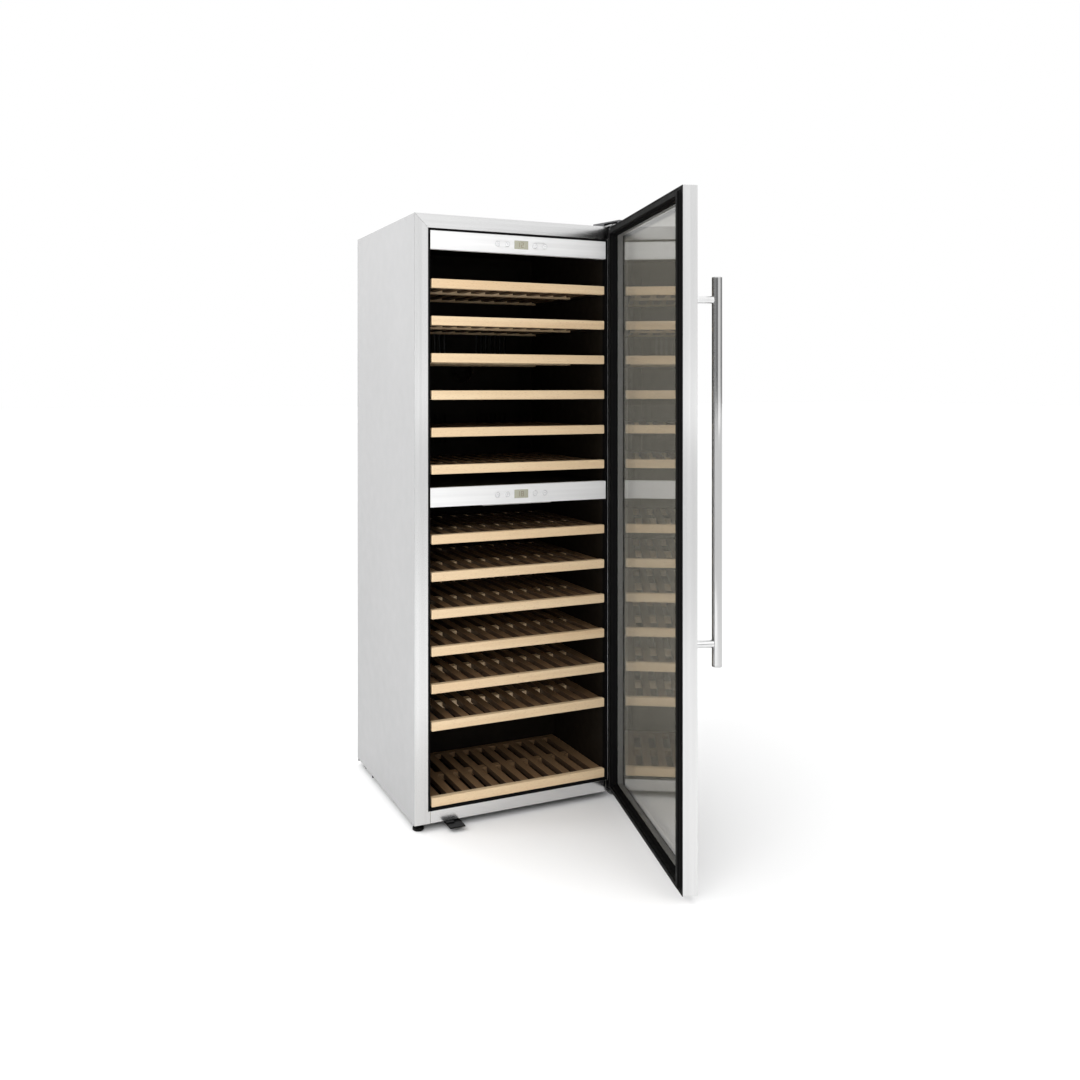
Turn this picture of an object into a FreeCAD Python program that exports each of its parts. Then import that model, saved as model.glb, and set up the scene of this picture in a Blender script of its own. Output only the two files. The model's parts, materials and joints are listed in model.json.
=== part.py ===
"""Free-standing two-zone wine cooler with a glass door, thirteen sliding shelves and two control panels.

Origin: centre of the cabinet's footprint, on the floor. +Z is up, -Y is the front, +X is the hinge side.
The door is drawn shut and then turned about its hinge to the open position that it rests in.
"""
import FreeCAD, Part
import math
import os

from FreeCAD import Vector

# ---- driving dimensions, in millimetres ----
WIDTH = 655.0            # cabinet, side to side
DEPTH = 565.0            # cabinet body, front frame to back sheet
HEIGHT = 1720.0          # floor to the top sheet
UNDERSIDE = 20.0         # floor to the lowest edge of the cabinet
SHEET = 1.0              # steel of the outer casing
FACE = 1.2               # steel of the front frame and of the door's casing
SEAM = 0.1               # gap between neighbouring pieces

FRAME_FACE = 40.0        # visible width of the front frame
RAIL_BOTTOM = 33.5       # height of the frame's bottom rail
FRAME_RETURN = 20.0      # how far the frame turns back towards the inside
LIP = 7.0                # black lip between the frame and the opening

LINER_HALF = 283.0       # half the inside width
LINER_WALL = 1.5
LINER_BACK = 515.0       # depth of the inside, from the front frame
ZONE_FLOOR = (952.0, 62.0)      # inside floor of the upper and of the lower zone
ZONE_TOP = (1676.0, 902.0)      # inside ceiling of the upper and of the lower zone
STEP_DEPTH = 348.0       # the lower zone's floor steps up behind this depth
STEP_TOP = 268.0
BAY_DEPTH = 395.0        # front wall of the machine bay under that step
BAY_TOP = 225.0

SHELF_HALF = 276.5       # half the length of a shelf's front bar
SHELF_BAR = (18.0, 26.0)        # depth and height of the front bar
SHELF_PITCH = 104.4
SHELVES_PER_ZONE = 6
UPPER_TOP_SHELF = 1540.0        # top of the highest front bar in each zone
LOWER_TOP_SHELF = 822.5
BOTTOM_SHELF = 89.0
SHELF_DEPTH = 455.0
BOTTOM_SHELF_DEPTH = 342.0
SLATS = 12
SLAT = (25.0, 16.0)      # width and height of a slat
SLAT_PITCH = 46.5
SLAT_DROP = 4.0          # slats lie this far under the top of the front bar
CROSSBAR = 24.0          # depth of a crossbar
TOOTH_DROP = 3.0         # the teeth between the slats end this far under the slats' tops
CROSSBARS = (182.0, SHELF_DEPTH - CROSSBAR)      # how far back each one starts
BOTTOM_CROSSBAR = 170.0
REAR_RAIL = 24.0         # depth of the bottom shelf's rear rail, which is level with its slats
WOOD_SEAM = 0.2          # between the pieces of a shelf
RUNNER_GAP = 0.3

PANEL_HALF = 280.4       # half the length of a control panel
PANELS = ((1622.0, 1674.2), (900.5, 954.2))     # lowest and highest edge of each
PANEL_DEPTH = 16.0
BUTTONS_X = (-76.0, -44.5, 43.5, 75.5)
BUTTON_R = 7.8
BUTTON_PROUD = 1.0
DISPLAY = (44.0, 24.0)

DOOR_WIDTH = 642.0
DOOR_Z = (21.0, 1719.0)
DOOR_THICK = 38.0
DOOR_GAP = 10.0          # front frame to the door's inner face
DOOR_OPEN = 75.0         # degrees, in the resting position
HINGE_INSET = 17.0       # door's edge to the hinge axis
HINGE_OUT = 24.5         # front frame to the hinge axis
PIN_R = 5.0
RUNNING = 0.05           # radial clearance of every running fit
DOOR_FACE = 42.0         # width of the steel round the glass, seen from outside
DOOR_BORDER = 30.0       # width of the black frame, seen from inside
GLASS_INSET = 20.2
PANE = 3.8
GLASS_RECESS = 14.0
SPACER_INSET = 31.0
GASKET_INSET = 12.5
GASKET = (12.0, 9.5)     # width and thickness

HANDLE_R = 12.5
HANDLE_INSET = 30.0
HANDLE_OUT = 60.0
HANDLE_Z = (558.0, 1503.0)
POST_Z = (614.0, 1447.5)
POST_R = 9.5

FEET = ((-309.0, 22.0), (300.0, 78.0))     # x and depth of each foot; the right one clears the hinge
FOOT_R = 16.0
ROLLER = (305.0, 515.0, 12.0)   # x, depth and radius of a rear roller
ROLLER_WIDE = 18.0

FRONT = -DEPTH / 2
BACK = DEPTH / 2
HALF = WIDTH / 2
HINGE = Vector(DOOR_WIDTH / 2 - HINGE_INSET, FRONT - HINGE_OUT, 0)
X, Y, Z = Vector(1, 0, 0), Vector(0, 1, 0), Vector(0, 0, 1)

os.makedirs("parts", exist_ok=True)


# ---- helpers ----
def block(x0, x1, y0, y1, z0, z1):
    """A box between two corners; y is counted back from the front frame."""
    return Part.makeBox(x1 - x0, y1 - y0, z1 - z0, Vector(x0, FRONT + y0, z0))


def rod(radius, length, start, axis):
    """A round bar from start, whose y is counted back from the front frame."""
    return Part.makeCylinder(radius, length, start + Vector(0, FRONT, 0), axis)


def prism(points, y0, y1):
    """A plate of the outline points (x, z), from depth y0 to depth y1."""
    outline = Part.makePolygon([Vector(x, FRONT + y0, z) for x, z in points + points[:1]])
    return Part.Face(outline).extrude(Vector(0, y1 - y0, 0))


def profile(points, half):
    """The outline points (depth, z), drawn out to both sides of the middle."""
    outline = Part.makePolygon([Vector(-half, FRONT + y, z) for y, z in points + points[:1]])
    return Part.Face(outline).extrude(Vector(2 * half, 0, 0))


def mirrored(shape):
    """The same shape on the cabinet's other side."""
    return shape.mirror(Vector(0, 0, 0), X)


def fuse(shapes):
    """Several shapes as one solid."""
    return shapes[0].multiFuse(shapes[1:]).removeSplitter()


def save(node, solids):
    """Write one sub-part, of one or more separate solids."""
    parts = [solid for shape in solids for solid in shape.Solids]
    shape = parts[0] if len(parts) == 1 else Part.makeCompound(parts)
    if not shape.isValid():
        raise ValueError(node + " is not a valid solid")
    shape.exportStep("parts/" + node + ".step")


def ring(half, z0, z1, inset, width, y0, y1):
    """A rectangular frame: inset from the outline half by z0..z1, width wide."""
    low, high = inset, inset + width
    outer = block(-half + low, half - low, y0, y1, z0 + low, z1 - low)
    return outer.cut(block(-half + high, half - high, y0 - 1, y1 + 1, z0 + high, z1 - high))


def mitred(frame, half, z0, z1, reach, y0, y1):
    """Cut a rectangular frame at its corners' diagonals into its four members."""
    gap = SEAM / 2
    side = [(-half, z0 + gap), (-half + reach, z0 + reach + gap),
            (-half + reach, z1 - reach - gap), (-half, z1 - gap)]
    top = [(-half + gap, z1), (-half + reach + gap, z1 - reach),
           (half - reach - gap, z1 - reach), (half - gap, z1)]
    bottom = [(x, z0 + z1 - z) for x, z in top]
    wedges = [prism(side, y0, y1), prism([(-x, z) for x, z in side], y0, y1),
              prism(top, y0, y1), prism(bottom, y0, y1)]
    return [frame.common(wedge) for wedge in wedges]


# ---- outer casing ----
def casing():
    """Side, top, back and base sheets round the foam."""
    inside = HALF - SHEET - SEAM
    side = block(-HALF, -HALF + SHEET, FACE + SEAM, DEPTH, UNDERSIDE, HEIGHT)
    save("side_panels", [side, mirrored(side)])
    save("top_panel", [block(-inside, inside, FACE + SEAM, DEPTH, HEIGHT - SHEET, HEIGHT)])
    back = block(-inside, inside, DEPTH - SHEET, DEPTH, BAY_TOP + 5, HEIGHT - SHEET - SEAM)
    for z in (620.0, 1170.0):
        rib = block(-inside + 40, inside - 40, DEPTH - SHEET, DEPTH + 3, z - 9, z + 9)
        hollow = block(-inside + 41, inside - 41, DEPTH - SHEET - 1, DEPTH + 2, z - 8, z + 8)
        back = back.fuse(rib).cut(hollow)
    save("back_panel", [back.removeSplitter()])


def base():
    """Base sheet with folded stiffeners, weld nuts for the feet and forks for the rollers."""
    inside = HALF - SHEET - SEAM
    top = UNDERSIDE + 0.8
    sheet = block(-inside, inside, FACE + SEAM, DEPTH - SHEET - SEAM, top - 1.6, top)
    pieces = [sheet]
    for y, drop in ((403.0, 8.0), (476.0, 5.0), (558.0, 7.0)):
        pieces.append(block(-inside, inside, y, y + 3, top - 1.6 - drop, top))
    for x, y in FEET:
        pieces.append(rod(8.0, 8.0, Vector(x, y, top), Z))
    shape = fuse(pieces)
    for x, y in FEET:
        shape = shape.cut(rod(4.0 + RUNNING, 30.0, Vector(x, y, 5), Z))
    x, y, r = ROLLER
    for centre in (-x, x):
        well = ROLLER_WIDE / 2 + 1.5
        shape = shape.cut(block(centre - well, centre + well, y - r - 2, y + r + 2, 0, top + 1))
        for sign in (-1, 1):
            inner, outer = sorted((centre + sign * well, centre + sign * (well + 2)))
            shape = shape.fuse(block(inner, outer, y - 9, y + 9, r - 7, top))
        axle = rod(3.0, 2 * well + 4, Vector(centre - well - 2, y, r), X)
        shape = shape.fuse(axle)
    save("base_pan", [shape.removeSplitter()])


def liners():
    """Moulded black inner boxes, one for each zone, open at the front."""
    wall, front = LINER_WALL, FRAME_RETURN + 0.5
    upper = block(-LINER_HALF - wall, LINER_HALF + wall, front, LINER_BACK + wall,
                  ZONE_FLOOR[0] - wall, ZONE_TOP[0] + wall)
    upper = upper.cut(block(-LINER_HALF, LINER_HALF, front - 1, LINER_BACK, ZONE_FLOOR[0], ZONE_TOP[0]))
    outside = profile(lower_outline(front, wall), LINER_HALF + wall)
    lower = outside.cut(profile(lower_outline(front - 1, 0), LINER_HALF))
    save("liners", [upper, lower])


def lower_outline(front, wall):
    """Side view of the lower zone, grown by wall, with the step over the machine bay."""
    floor, top = ZONE_FLOOR[1] - wall, ZONE_TOP[1] + wall
    return [(front, floor), (STEP_DEPTH + wall, floor), (STEP_DEPTH + wall, STEP_TOP - wall),
            (LINER_BACK + wall, STEP_TOP - wall), (LINER_BACK + wall, top), (front, top)]


def insulation():
    """Foam between the casing and the liners."""
    skin, wall, front = HALF - SHEET - 2 * SEAM, LINER_WALL, FRAME_RETURN + 1
    foam = block(-skin, skin, front, DEPTH - SHEET - SEAM, UNDERSIDE + 1, HEIGHT - SHEET - SEAM)
    foam = foam.cut(block(-LINER_HALF - wall, LINER_HALF + wall, 0, LINER_BACK + wall,
                          ZONE_FLOOR[0] - wall, ZONE_TOP[0] + wall))
    foam = foam.cut(profile(lower_outline(0, wall), LINER_HALF + wall))
    foam = foam.cut(block(-HALF, HALF, BAY_DEPTH, DEPTH, UNDERSIDE - 1, BAY_TOP))
    for x, y in FEET:
        foam = foam.cut(rod(9.0, 30.0, Vector(x, y, UNDERSIDE), Z))
    save("insulation", [foam])


# ---- front frame and control panels ----
def front_frame():
    """Stainless face round the opening: mitred at the top, butted at the bottom."""
    top, reach = HEIGHT - FRAME_FACE + 1, FRAME_FACE
    inner, sill = HALF - FRAME_FACE, UNDERSIDE + RAIL_BOTTOM
    stile = prism([(-HALF, UNDERSIDE), (-inner + LIP - SEAM, UNDERSIDE), (-inner + LIP - SEAM, sill),
                   (-inner, sill), (-inner, top - SEAM), (-HALF, HEIGHT - SEAM)], 0, FACE)
    stile = stile.fuse(block(-inner - FACE, -inner, FACE, FRAME_RETURN, sill, top - 2))
    rail = prism([(-HALF + SEAM, HEIGHT), (-HALF + SEAM + reach, top), (HALF - SEAM - reach, top),
                  (HALF - SEAM, HEIGHT)], 0, FACE)
    rail = rail.fuse(block(-inner + 1, inner - 1, FACE, FRAME_RETURN, top, top + FACE))
    low = block(-inner + LIP, inner - LIP, 0, FACE, UNDERSIDE, sill)
    low = low.fuse(block(-inner + LIP, inner - LIP, FACE, FRAME_RETURN, sill - FACE, sill))
    save("front_frame", [stile, mirrored(stile), rail, low])


def frame_trim():
    """Black plastic lip inside the front frame."""
    outer, sill, top = HALF - FRAME_FACE - SEAM, UNDERSIDE + RAIL_BOTTOM + SEAM, HEIGHT - FRAME_FACE + 1
    side = block(-outer, -outer + LIP - 0.3, 0.5, FRAME_RETURN, sill, top - SEAM)
    inner = outer - LIP + 0.3 - SEAM
    high = block(-inner, inner, 0.5, FRAME_RETURN, top - LIP + 0.3, top - SEAM)
    low = block(-inner, inner, 0.5, FRAME_RETURN, sill, sill + LIP)
    save("frame_trim", [side, mirrored(side), high, low])


def control_panels():
    """Two brushed fascias, each a shallow tray with a window and four button holes."""
    panels = []
    for low, high in PANELS:
        middle = (low + high) / 2
        tray = block(-PANEL_HALF, PANEL_HALF, 0, PANEL_DEPTH, low, high)
        tray = tray.cut(block(-PANEL_HALF + 2, PANEL_HALF - 2, 2, PANEL_DEPTH + 1, low + 2, high - 2))
        half_x, half_z = DISPLAY[0] / 2 + 0.2, DISPLAY[1] / 2 + 0.2
        tray = tray.cut(block(-half_x, half_x, -1, 3, middle - half_z, middle + half_z))
        for x in BUTTONS_X:
            tray = tray.cut(rod(BUTTON_R + 0.4, 5.0, Vector(x, -1, middle), Y))
        panels.append(tray)
    save("control_panels", panels)


def displays():
    """Display modules, each a window on its circuit board."""
    modules = []
    for low, high in PANELS:
        middle = (low + high) / 2
        half, rise = DISPLAY[0] / 2, DISPLAY[1] / 2
        window = block(-half, half, 0.3, 11, middle - rise, middle + rise)
        board = block(-100, 100, 11, 12.6, middle - 18, middle + 18)
        modules.append(fuse([window, board]))
    save("displays", modules)


def buttons():
    """Eight push buttons, each a round cap with a stem that reaches towards the board."""
    for zone, (low, high) in zip(("upper", "lower"), PANELS):
        for number, x in enumerate(BUTTONS_X, 1):
            start = Vector(x, -BUTTON_PROUD, (low + high) / 2)
            cap = rod(BUTTON_R, 4.5, start, Y)
            stem = rod(3.0, 10.5, start, Y)
            save("button_%s_%d" % (zone, number), [fuse([cap, stem])])


def led_strips():
    """Light bars under the ceiling of each zone, behind its control panel."""
    save("led_strips", [block(-110, 110, 26, 38, top - 7, top - SEAM) for top in ZONE_TOP])


# ---- shelves ----
def shelf_levels():
    """Tops of the thirteen front bars, from the highest down."""
    upper = [UPPER_TOP_SHELF - k * SHELF_PITCH for k in range(SHELVES_PER_ZONE)]
    lower = [LOWER_TOP_SHELF - k * SHELF_PITCH for k in range(SHELVES_PER_ZONE)]
    return upper + lower + [BOTTOM_SHELF]


def shelf(top, depth, crossbars):
    """A front bar, twelve slats back from it, the outer two wider, and toothed crossbars under them."""
    bar = block(-SHELF_HALF, SHELF_HALF, 0, SHELF_BAR[0], top - SHELF_BAR[1], top)
    rounded = [edge for edge in bar.Edges if abs(edge.CenterOfMass.y - FRONT) < 1]
    pieces = [bar.makeFillet(2.0, rounded)]
    high = top - SLAT_DROP
    low = high - SLAT[1]
    for k in range(SLATS):
        x = (k - (SLATS - 1) / 2) * SLAT_PITCH
        left = -SHELF_HALF if k == 0 else x - SLAT[0] / 2
        right = SHELF_HALF if k == SLATS - 1 else x + SLAT[0] / 2
        pieces.append(block(left, right, SHELF_BAR[0] + WOOD_SEAM, depth, low, high))
    for y in crossbars:
        comb = [block(-258, 258, y, y + CROSSBAR, top - SHELF_BAR[1], low - WOOD_SEAM)]
        for k in range(SLATS - 1):
            x = (k - (SLATS - 2) / 2) * SLAT_PITCH
            half = (SLAT_PITCH - SLAT[0]) / 2 - WOOD_SEAM
            comb.append(block(x - half, x + half, y, y + CROSSBAR, low - 1, high - TOOTH_DROP))
        pieces.append(fuse(comb))
    return pieces


def bottom_shelf(top):
    """The shorter shelf in front of the machine bay, whose slats end at a rail."""
    rail = BOTTOM_SHELF_DEPTH - REAR_RAIL
    pieces = shelf(top, rail - WOOD_SEAM, (BOTTOM_CROSSBAR,))
    high = top - SLAT_DROP
    pieces.append(block(-SHELF_HALF, SHELF_HALF, rail, BOTTOM_SHELF_DEPTH, high - SLAT[1], high))
    return pieces


def shelves():
    """Twelve full shelves and the bottom one."""
    levels = shelf_levels()
    for number, top in enumerate(levels, 1):
        last = number == len(levels)
        save("shelf_%02d" % number, bottom_shelf(top) if last else shelf(top, SHELF_DEPTH, CROSSBARS))


def shelf_supports():
    """A ledge on each side wall under the outer slat of every shelf."""
    ledges = []
    levels = shelf_levels()
    for number, top in enumerate(levels, 1):
        end = SHELF_DEPTH if number < len(levels) else BOTTOM_SHELF_DEPTH
        high = top - SLAT_DROP - SLAT[1] - RUNNER_GAP
        ledge = block(-LINER_HALF + SEAM, -260, 30, end, high - 6, high)
        ledges += [ledge, mirrored(ledge)]
    save("shelf_supports", ledges)


# ---- air circulation ----
FAN_DEPTH = (475.0, 500.0)
FAN_R = 40.0
FAN_Z = (1290.0, 590.0)
DUCT = (210.0, 470.0)
SLOT = (8.0, 100.0)      # an air slot's width and height
SLOTS = 7                # in each group
SLOT_X = 53.0            # first slot's near edge from the middle
SLOT_PITCH = 17.2


def duct_covers():
    """A moulded cover over each zone's evaporator, with louvres and a grille in front of the fan."""
    covers = []
    half, front = DUCT
    for z0, z1, fan in ((990.0, 1640.0, FAN_Z[0]), (300.0, 870.0, FAN_Z[1])):
        cover = block(-half, half, front, LINER_BACK - SEAM, z0, z1)
        cover = cover.cut(block(-half + 2, half - 2, front + 2, LINER_BACK + 1, z0 + 2, z1 - 2))
        slots = []
        for z in (z0 + 60, z1 - 295):
            for k in range(SLOTS):
                x = SLOT_X + SLOT_PITCH * k
                slot = block(x, x + SLOT[0], front - 1, front + 3, z, z + SLOT[1])
                slots += [slot, mirrored(slot)]
        for k in range(-4, 5):
            chord = math.sqrt(FAN_R ** 2 - (9.0 * k) ** 2)
            slots.append(block(-chord, chord, front - 1, front + 3, fan + 9 * k - 2.5, fan + 9 * k + 2.5))
        covers.append(cover.cut(Part.makeCompound(slots)))
    save("duct_covers", covers)


def fan_rotor(hub, tip, depth, blades):
    """A fan wheel about +Y, centred on the origin, with twisted blades and a bore for its shaft."""
    wheel = Part.makeCylinder(hub, depth, Vector(0, -depth / 2, 0), Y)
    for k in range(blades):
        blade = Part.makeBox(depth * 1.15, 1.6, tip, Vector(-depth * 0.575, -0.8, hub - 2))
        blade.rotate(Vector(0, 0, 0), Z, 35)
        blade.rotate(Vector(0, 0, 0), Y, 360.0 * k / blades)
        wheel = wheel.fuse(blade)
    wheel = wheel.common(Part.makeCylinder(tip, depth, Vector(0, -depth / 2, 0), Y))
    bore = Part.makeCylinder(2.0 + RUNNING, depth + 2, Vector(0, -depth / 2 - 1, 0), Y)
    return wheel.cut(bore).removeSplitter()


def fan_housing(tip, hub, depth):
    """A square fan body about +Y with a motor, its shaft and four struts, centred on the origin."""
    half = tip + 5
    body = Part.makeBox(2 * half, depth, 2 * half, Vector(-half, -depth / 2, -half))
    body = body.cut(Part.makeCylinder(tip + 2, depth + 2, Vector(0, -depth / 2 - 1, 0), Y))
    motor = Part.makeCylinder(hub, 5, Vector(0, depth / 2 - 5, 0), Y)
    shaft = Part.makeCylinder(2.0, depth - 4, Vector(0, -depth / 2 + 2, 0), Y)
    struts = [Part.makeBox(2 * half - 2, 3, 5, Vector(-half + 1, depth / 2 - 4, -2.5)),
              Part.makeBox(5, 3, 2 * half - 2, Vector(-2.5, depth / 2 - 4, -half + 1))]
    return fuse([body, motor, shaft] + struts)


def fans():
    """Two circulation fans behind the duct covers and one that cools the condenser."""
    middle = (FAN_DEPTH[0] + FAN_DEPTH[1]) / 2
    depth = FAN_DEPTH[1] - FAN_DEPTH[0]
    housings = []
    for name, z in zip(("fan_upper", "fan_lower"), FAN_Z):
        place = Vector(0, FRONT + middle, z)
        rotor = fan_rotor(15.0, FAN_R, depth - 9, 5)
        rotor.translate(place - Vector(0, 2.5, 0))
        save(name, [rotor])
        housing = fan_housing(FAN_R, 15.0, depth)
        housing.translate(place)
        housings.append(housing)
    place = Vector(40, FRONT + 480, 100)
    rotor = fan_rotor(20.0, 62.0, 21, 5)
    rotor.rotate(Vector(0, 0, 0), Z, -90)
    rotor.translate(place - Vector(2.5, 0, 0))
    save("condenser_fan", [rotor])
    shroud = fan_housing(62.0, 20.0, 30)
    shroud.rotate(Vector(0, 0, 0), Z, -90)
    shroud.translate(place)
    housings.append(fuse([shroud, block(28, 52, 440, 520, UNDERSIDE + 0.8, 34)]))
    save("fan_housings", housings)


def evaporators():
    """A finned block in each duct."""
    blocks = []
    for z0, z1 in ((1350.0, 1600.0), (655.0, 840.0)):
        plates = [block(-180, 180, 480, 482, z0, z1)]
        for k in range(37):
            plates.append(block(-180 + 9.95 * k, -178.8 + 9.95 * k, 482, 510, z0, z1))
        blocks.append(fuse(plates))
    save("evaporators", blocks)


# ---- machine bay ----
def machine_bay():
    """Compressor, condenser, drain tray, mains inlet and the louvred rear cover."""
    floor = UNDERSIDE + 0.8
    centre = Vector(-160, 480, 0)
    body = rod(62.0, 95.0, centre + Vector(0, 0, floor + 22), Z)
    rounded = [edge for edge in body.Edges if len(edge.Vertexes) == 1]
    body = body.makeFillet(26.0, rounded)
    plate = block(centre.x - 85, centre.x + 85, 430, 530, floor + 10, floor + 13)
    collar = rod(50.0, 12.0, centre + Vector(0, 0, floor + 12), Z)
    legs = [rod(9.0, 10.5, Vector(centre.x + sx * 72, 480 + sy * 38, floor), Z)
            for sx in (-1, 1) for sy in (-1, 1)]
    band = rod(63.0, 5.0, centre + Vector(0, 0, floor + 66), Z)
    starter = block(centre.x + 45, centre.x + 82, 455, 505, floor + 50, floor + 95)
    save("compressor", [fuse([body, plate, collar, band, starter] + legs)])

    near, far = 75.0, 275.0
    tubes = [block(x, x + 1.5, 430, 530, floor + 8, 190) for x in (near, far)]
    tubes += [block(x, x + 12, 440, 520, floor, floor + 9) for x in (near, far - 10.5)]
    for row in range(4):
        for level in range(6):
            start = Vector(near - 3, 445 + 23 * row, 50 + 25 * level)
            tubes.append(rod(4.0, far - near + 8, start, X))
    save("condenser", [fuse(tubes)])

    tray = block(-240, -80, 415, 545, 138, 166)
    tray = tray.cut(block(-237, -83, 418, 542, 141, 167))
    save("drain_tray", [tray])

    inside = HALF - SHEET - SEAM
    cover = block(-inside, inside, DEPTH - SHEET, DEPTH, UNDERSIDE + 2, BAY_TOP + 4.5)
    slots = []
    for x0 in (-210.0, -90.0, 30.0, 150.0):
        for k in range(9):
            slots.append(block(x0, x0 + 100, DEPTH - 3, DEPTH + 1, 50 + 17 * k, 56 + 17 * k))
    slots.append(block(-290, -240, DEPTH - 3, DEPTH + 1, 165, 195))
    save("rear_grille", [cover.cut(Part.makeCompound(slots))])

    socket = block(-289.8, -240.2, DEPTH - 22, DEPTH, 165.2, 194.8)
    flange = block(-295, -235, DEPTH, DEPTH + 2, 160, 200)
    socket = fuse([socket, flange]).cut(block(-278, -252, DEPTH - 18, DEPTH + 3, 171, 189))
    pins = [block(x - 1, x + 1, DEPTH - 19, DEPTH - 3, z - 2, z + 2)
            for x, z in ((-272, 177), (-258, 177), (-265, 183))]
    save("mains_inlet", [fuse([socket] + pins)])


def screws():
    """Pan heads on the back sheet and the rear cover."""
    heads = []
    for z in (33.0, 130.0, 218.0, 250.0, 480.0, 760.0, 1040.0, 1320.0, 1600.0, 1700.0):
        for x in (-316.0, 316.0):
            head = rod(4.0, 2.2, Vector(x, DEPTH, z), Y)
            slot = block(x - 2.5, x + 2.5, DEPTH + 1, DEPTH + 3, z - 0.5, z + 0.5)
            heads.append(head.cut(slot))
    save("cabinet_screws", heads)


# ---- feet and rollers ----
def feet():
    """A levelling foot under each front corner: a pad on a threaded stud."""
    for name, (x, y) in zip(("foot_left", "foot_right"), FEET):
        pad = rod(FOOT_R, 8.0, Vector(x, y, 0), Z)
        pad = pad.makeFillet(2.5, [edge for edge in pad.Edges if len(edge.Vertexes) == 1])
        nut = Part.makePolygon([Vector(x + 8 * math.cos(math.radians(60 * k)),
                                       FRONT + y + 8 * math.sin(math.radians(60 * k)), 8) for k in range(7)])
        nut = Part.Face(nut).extrude(Vector(0, 0, 6))
        stud = rod(4.0, 34.0, Vector(x, y, 7), Z)
        save(name, [fuse([pad, nut, stud])])


def rollers():
    """A roller under each rear corner, on its axle."""
    for name, sign in (("roller_left", -1), ("roller_right", 1)):
        x, y, r = sign * ROLLER[0], ROLLER[1], ROLLER[2]
        wheel = rod(r, ROLLER_WIDE, Vector(x - ROLLER_WIDE / 2, y, r), X)
        wheel = wheel.makeFillet(1.5, [edge for edge in wheel.Edges if len(edge.Vertexes) == 1])
        save(name, [wheel.cut(rod(3.0 + RUNNING, ROLLER_WIDE + 2, Vector(x - ROLLER_WIDE / 2 - 1, y, r), X))])


# ---- door ----
def turned(shape):
    """A piece of the shut door, turned about the hinge to where the door rests."""
    shape = shape.copy()
    shape.rotate(HINGE, Z, DOOR_OPEN)
    return shape


def door():
    """Steel casing, black inner frame, double glazing, seal, handle and hinge bushes."""
    half, (z0, z1) = DOOR_WIDTH / 2, DOOR_Z
    inner, outer = -DOOR_GAP, -DOOR_GAP - DOOR_THICK
    axis = Vector(HINGE.x, -HINGE_OUT, 0)
    bush = (8.0, 18.0)
    seats = [rod(bush[0], bush[1] + 2, axis + Vector(0, 0, z0 - 1), Z),
             rod(bush[0], bush[1] + 2, axis + Vector(0, 0, z1 - bush[1] - 1), Z)]
    seats = Part.makeCompound(seats)

    face = ring(half, z0, z1, 0, DOOR_FACE, outer, outer + FACE)
    edge = ring(half, z0, z1, 0, FACE, outer, inner)
    casing_ring = face.fuse(edge).removeSplitter().cut(seats)
    members = mitred(casing_ring, half, z0, z1, 2 * DOOR_FACE, outer - 1, inner + 1)
    save("door_frame", [turned(member) for member in members])

    deep = ring(half, z0, z1, FACE + SEAM, GLASS_INSET - SEAM - FACE - SEAM, outer + FACE + SEAM, inner)
    lip = ring(half, z0, z1, FACE + SEAM, DOOR_BORDER - FACE - SEAM, inner - GLASS_RECESS, inner)
    black = deep.fuse(lip).removeSplitter().cut(seats)
    members = mitred(black, half, z0, z1, 2 * DOOR_FACE, outer - 1, inner + 1)
    save("door_liner", [turned(member) for member in members])

    seal = ring(half, z0, z1, GASKET_INSET, GASKET[0], inner, inner + GASKET[1])
    members = mitred(seal, half, z0, z1, 2 * DOOR_FACE, outer - 1, inner + GASKET[1] + 1)
    save("door_gasket", [turned(member) for member in members])

    glass = inner - GLASS_RECESS
    reach_x, low, high = half - GLASS_INSET, z0 + GLASS_INSET, z1 - GLASS_INSET
    panes = [block(-reach_x, reach_x, glass - SEAM - PANE, glass - SEAM, low, high),
             block(-reach_x, reach_x, outer + FACE + SEAM, outer + FACE + SEAM + PANE, low, high)]
    save("glass_panes", [turned(pane) for pane in panes])
    spacer = ring(half, z0, z1, GLASS_INSET, SPACER_INSET - GLASS_INSET,
                  outer + FACE + 2 * SEAM + PANE, glass - 2 * SEAM - PANE)
    members = mitred(spacer, half, z0, z1, 2 * DOOR_FACE, outer - 1, inner + 1)
    save("glass_spacer", [turned(member) for member in members])

    at_x, at_y = -half + HANDLE_INSET, outer - HANDLE_OUT
    length = HANDLE_Z[1] - HANDLE_Z[0]
    grip = rod(HANDLE_R, length, Vector(at_x, at_y, HANDLE_Z[0]), Z)
    tube = grip.cut(rod(HANDLE_R - 1.5, length + 2, Vector(at_x, at_y, HANDLE_Z[0] - 1), Z))
    save("handle_bar", [turned(tube)])
    posts = [rod(POST_R, HANDLE_OUT, Vector(at_x, at_y, z), Y).cut(grip) for z in POST_Z]
    save("handle_posts", [turned(post) for post in posts])

    sleeves = []
    for z in (z0, z1 - bush[1]):
        sleeve = rod(bush[0], bush[1], axis + Vector(0, 0, z), Z)
        sleeves.append(sleeve.cut(rod(PIN_R + RUNNING, bush[1] + 2, axis + Vector(0, 0, z - 1), Z)))
    save("door_bushes", [turned(sleeve) for sleeve in sleeves])


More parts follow.
